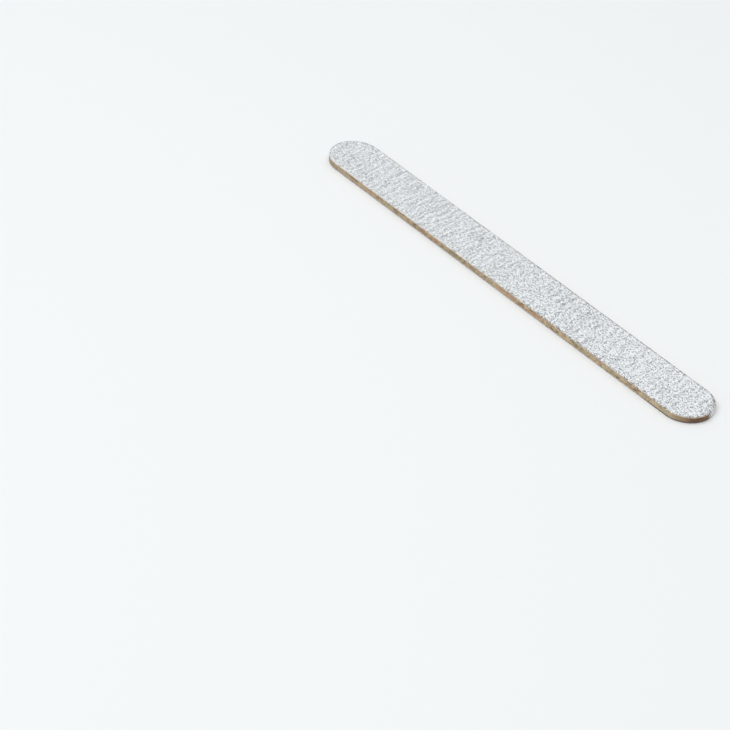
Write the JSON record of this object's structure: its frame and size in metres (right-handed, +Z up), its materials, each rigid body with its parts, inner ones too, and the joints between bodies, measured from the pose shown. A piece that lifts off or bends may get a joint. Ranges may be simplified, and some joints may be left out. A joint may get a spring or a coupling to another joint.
{
  "type": "nail file",
  "caption": "Straight flat nail file with full round ends: a thin wood core with coated abrasive paper on both faces, coarse above and finer below",
  "frame": {"origin": "middle of the underside (fine face), on the surface that the file lies on", "axes": "+X along the file's length, +Y across its width, +Z up through its layers, from the fine face to the coarse face"},
  "size_m": [0.178, 0.018, 0.0025],
  "materials": {
    "bare_wood": "cut edge, unsealed",
    "dried_glue": "thin dried film",
    "backing_paper": "matte, cream",
    "coarse_grit": "coarse dark grains in binder",
    "fine_grit": "fine dark grains in binder",
    "light_grey_coat": "chalky, light grey, faint streaks",
    "mid_grey_coat": "chalky, mid grey, wavy streaks"
  },
  "bodies": {
    "root": {"fine_pale_coat": "mid_grey_coat", "fine_grit_coat": "fine_grit", "fine_side_paper": "backing_paper", "fine_side_glue": "dried_glue", "wood_core": "bare_wood", "coarse_side_glue": "dried_glue", "coarse_side_paper": "backing_paper", "coarse_grit_coat": "coarse_grit", "coarse_pale_coat": "light_grey_coat"}
  },
  "joints": []
}
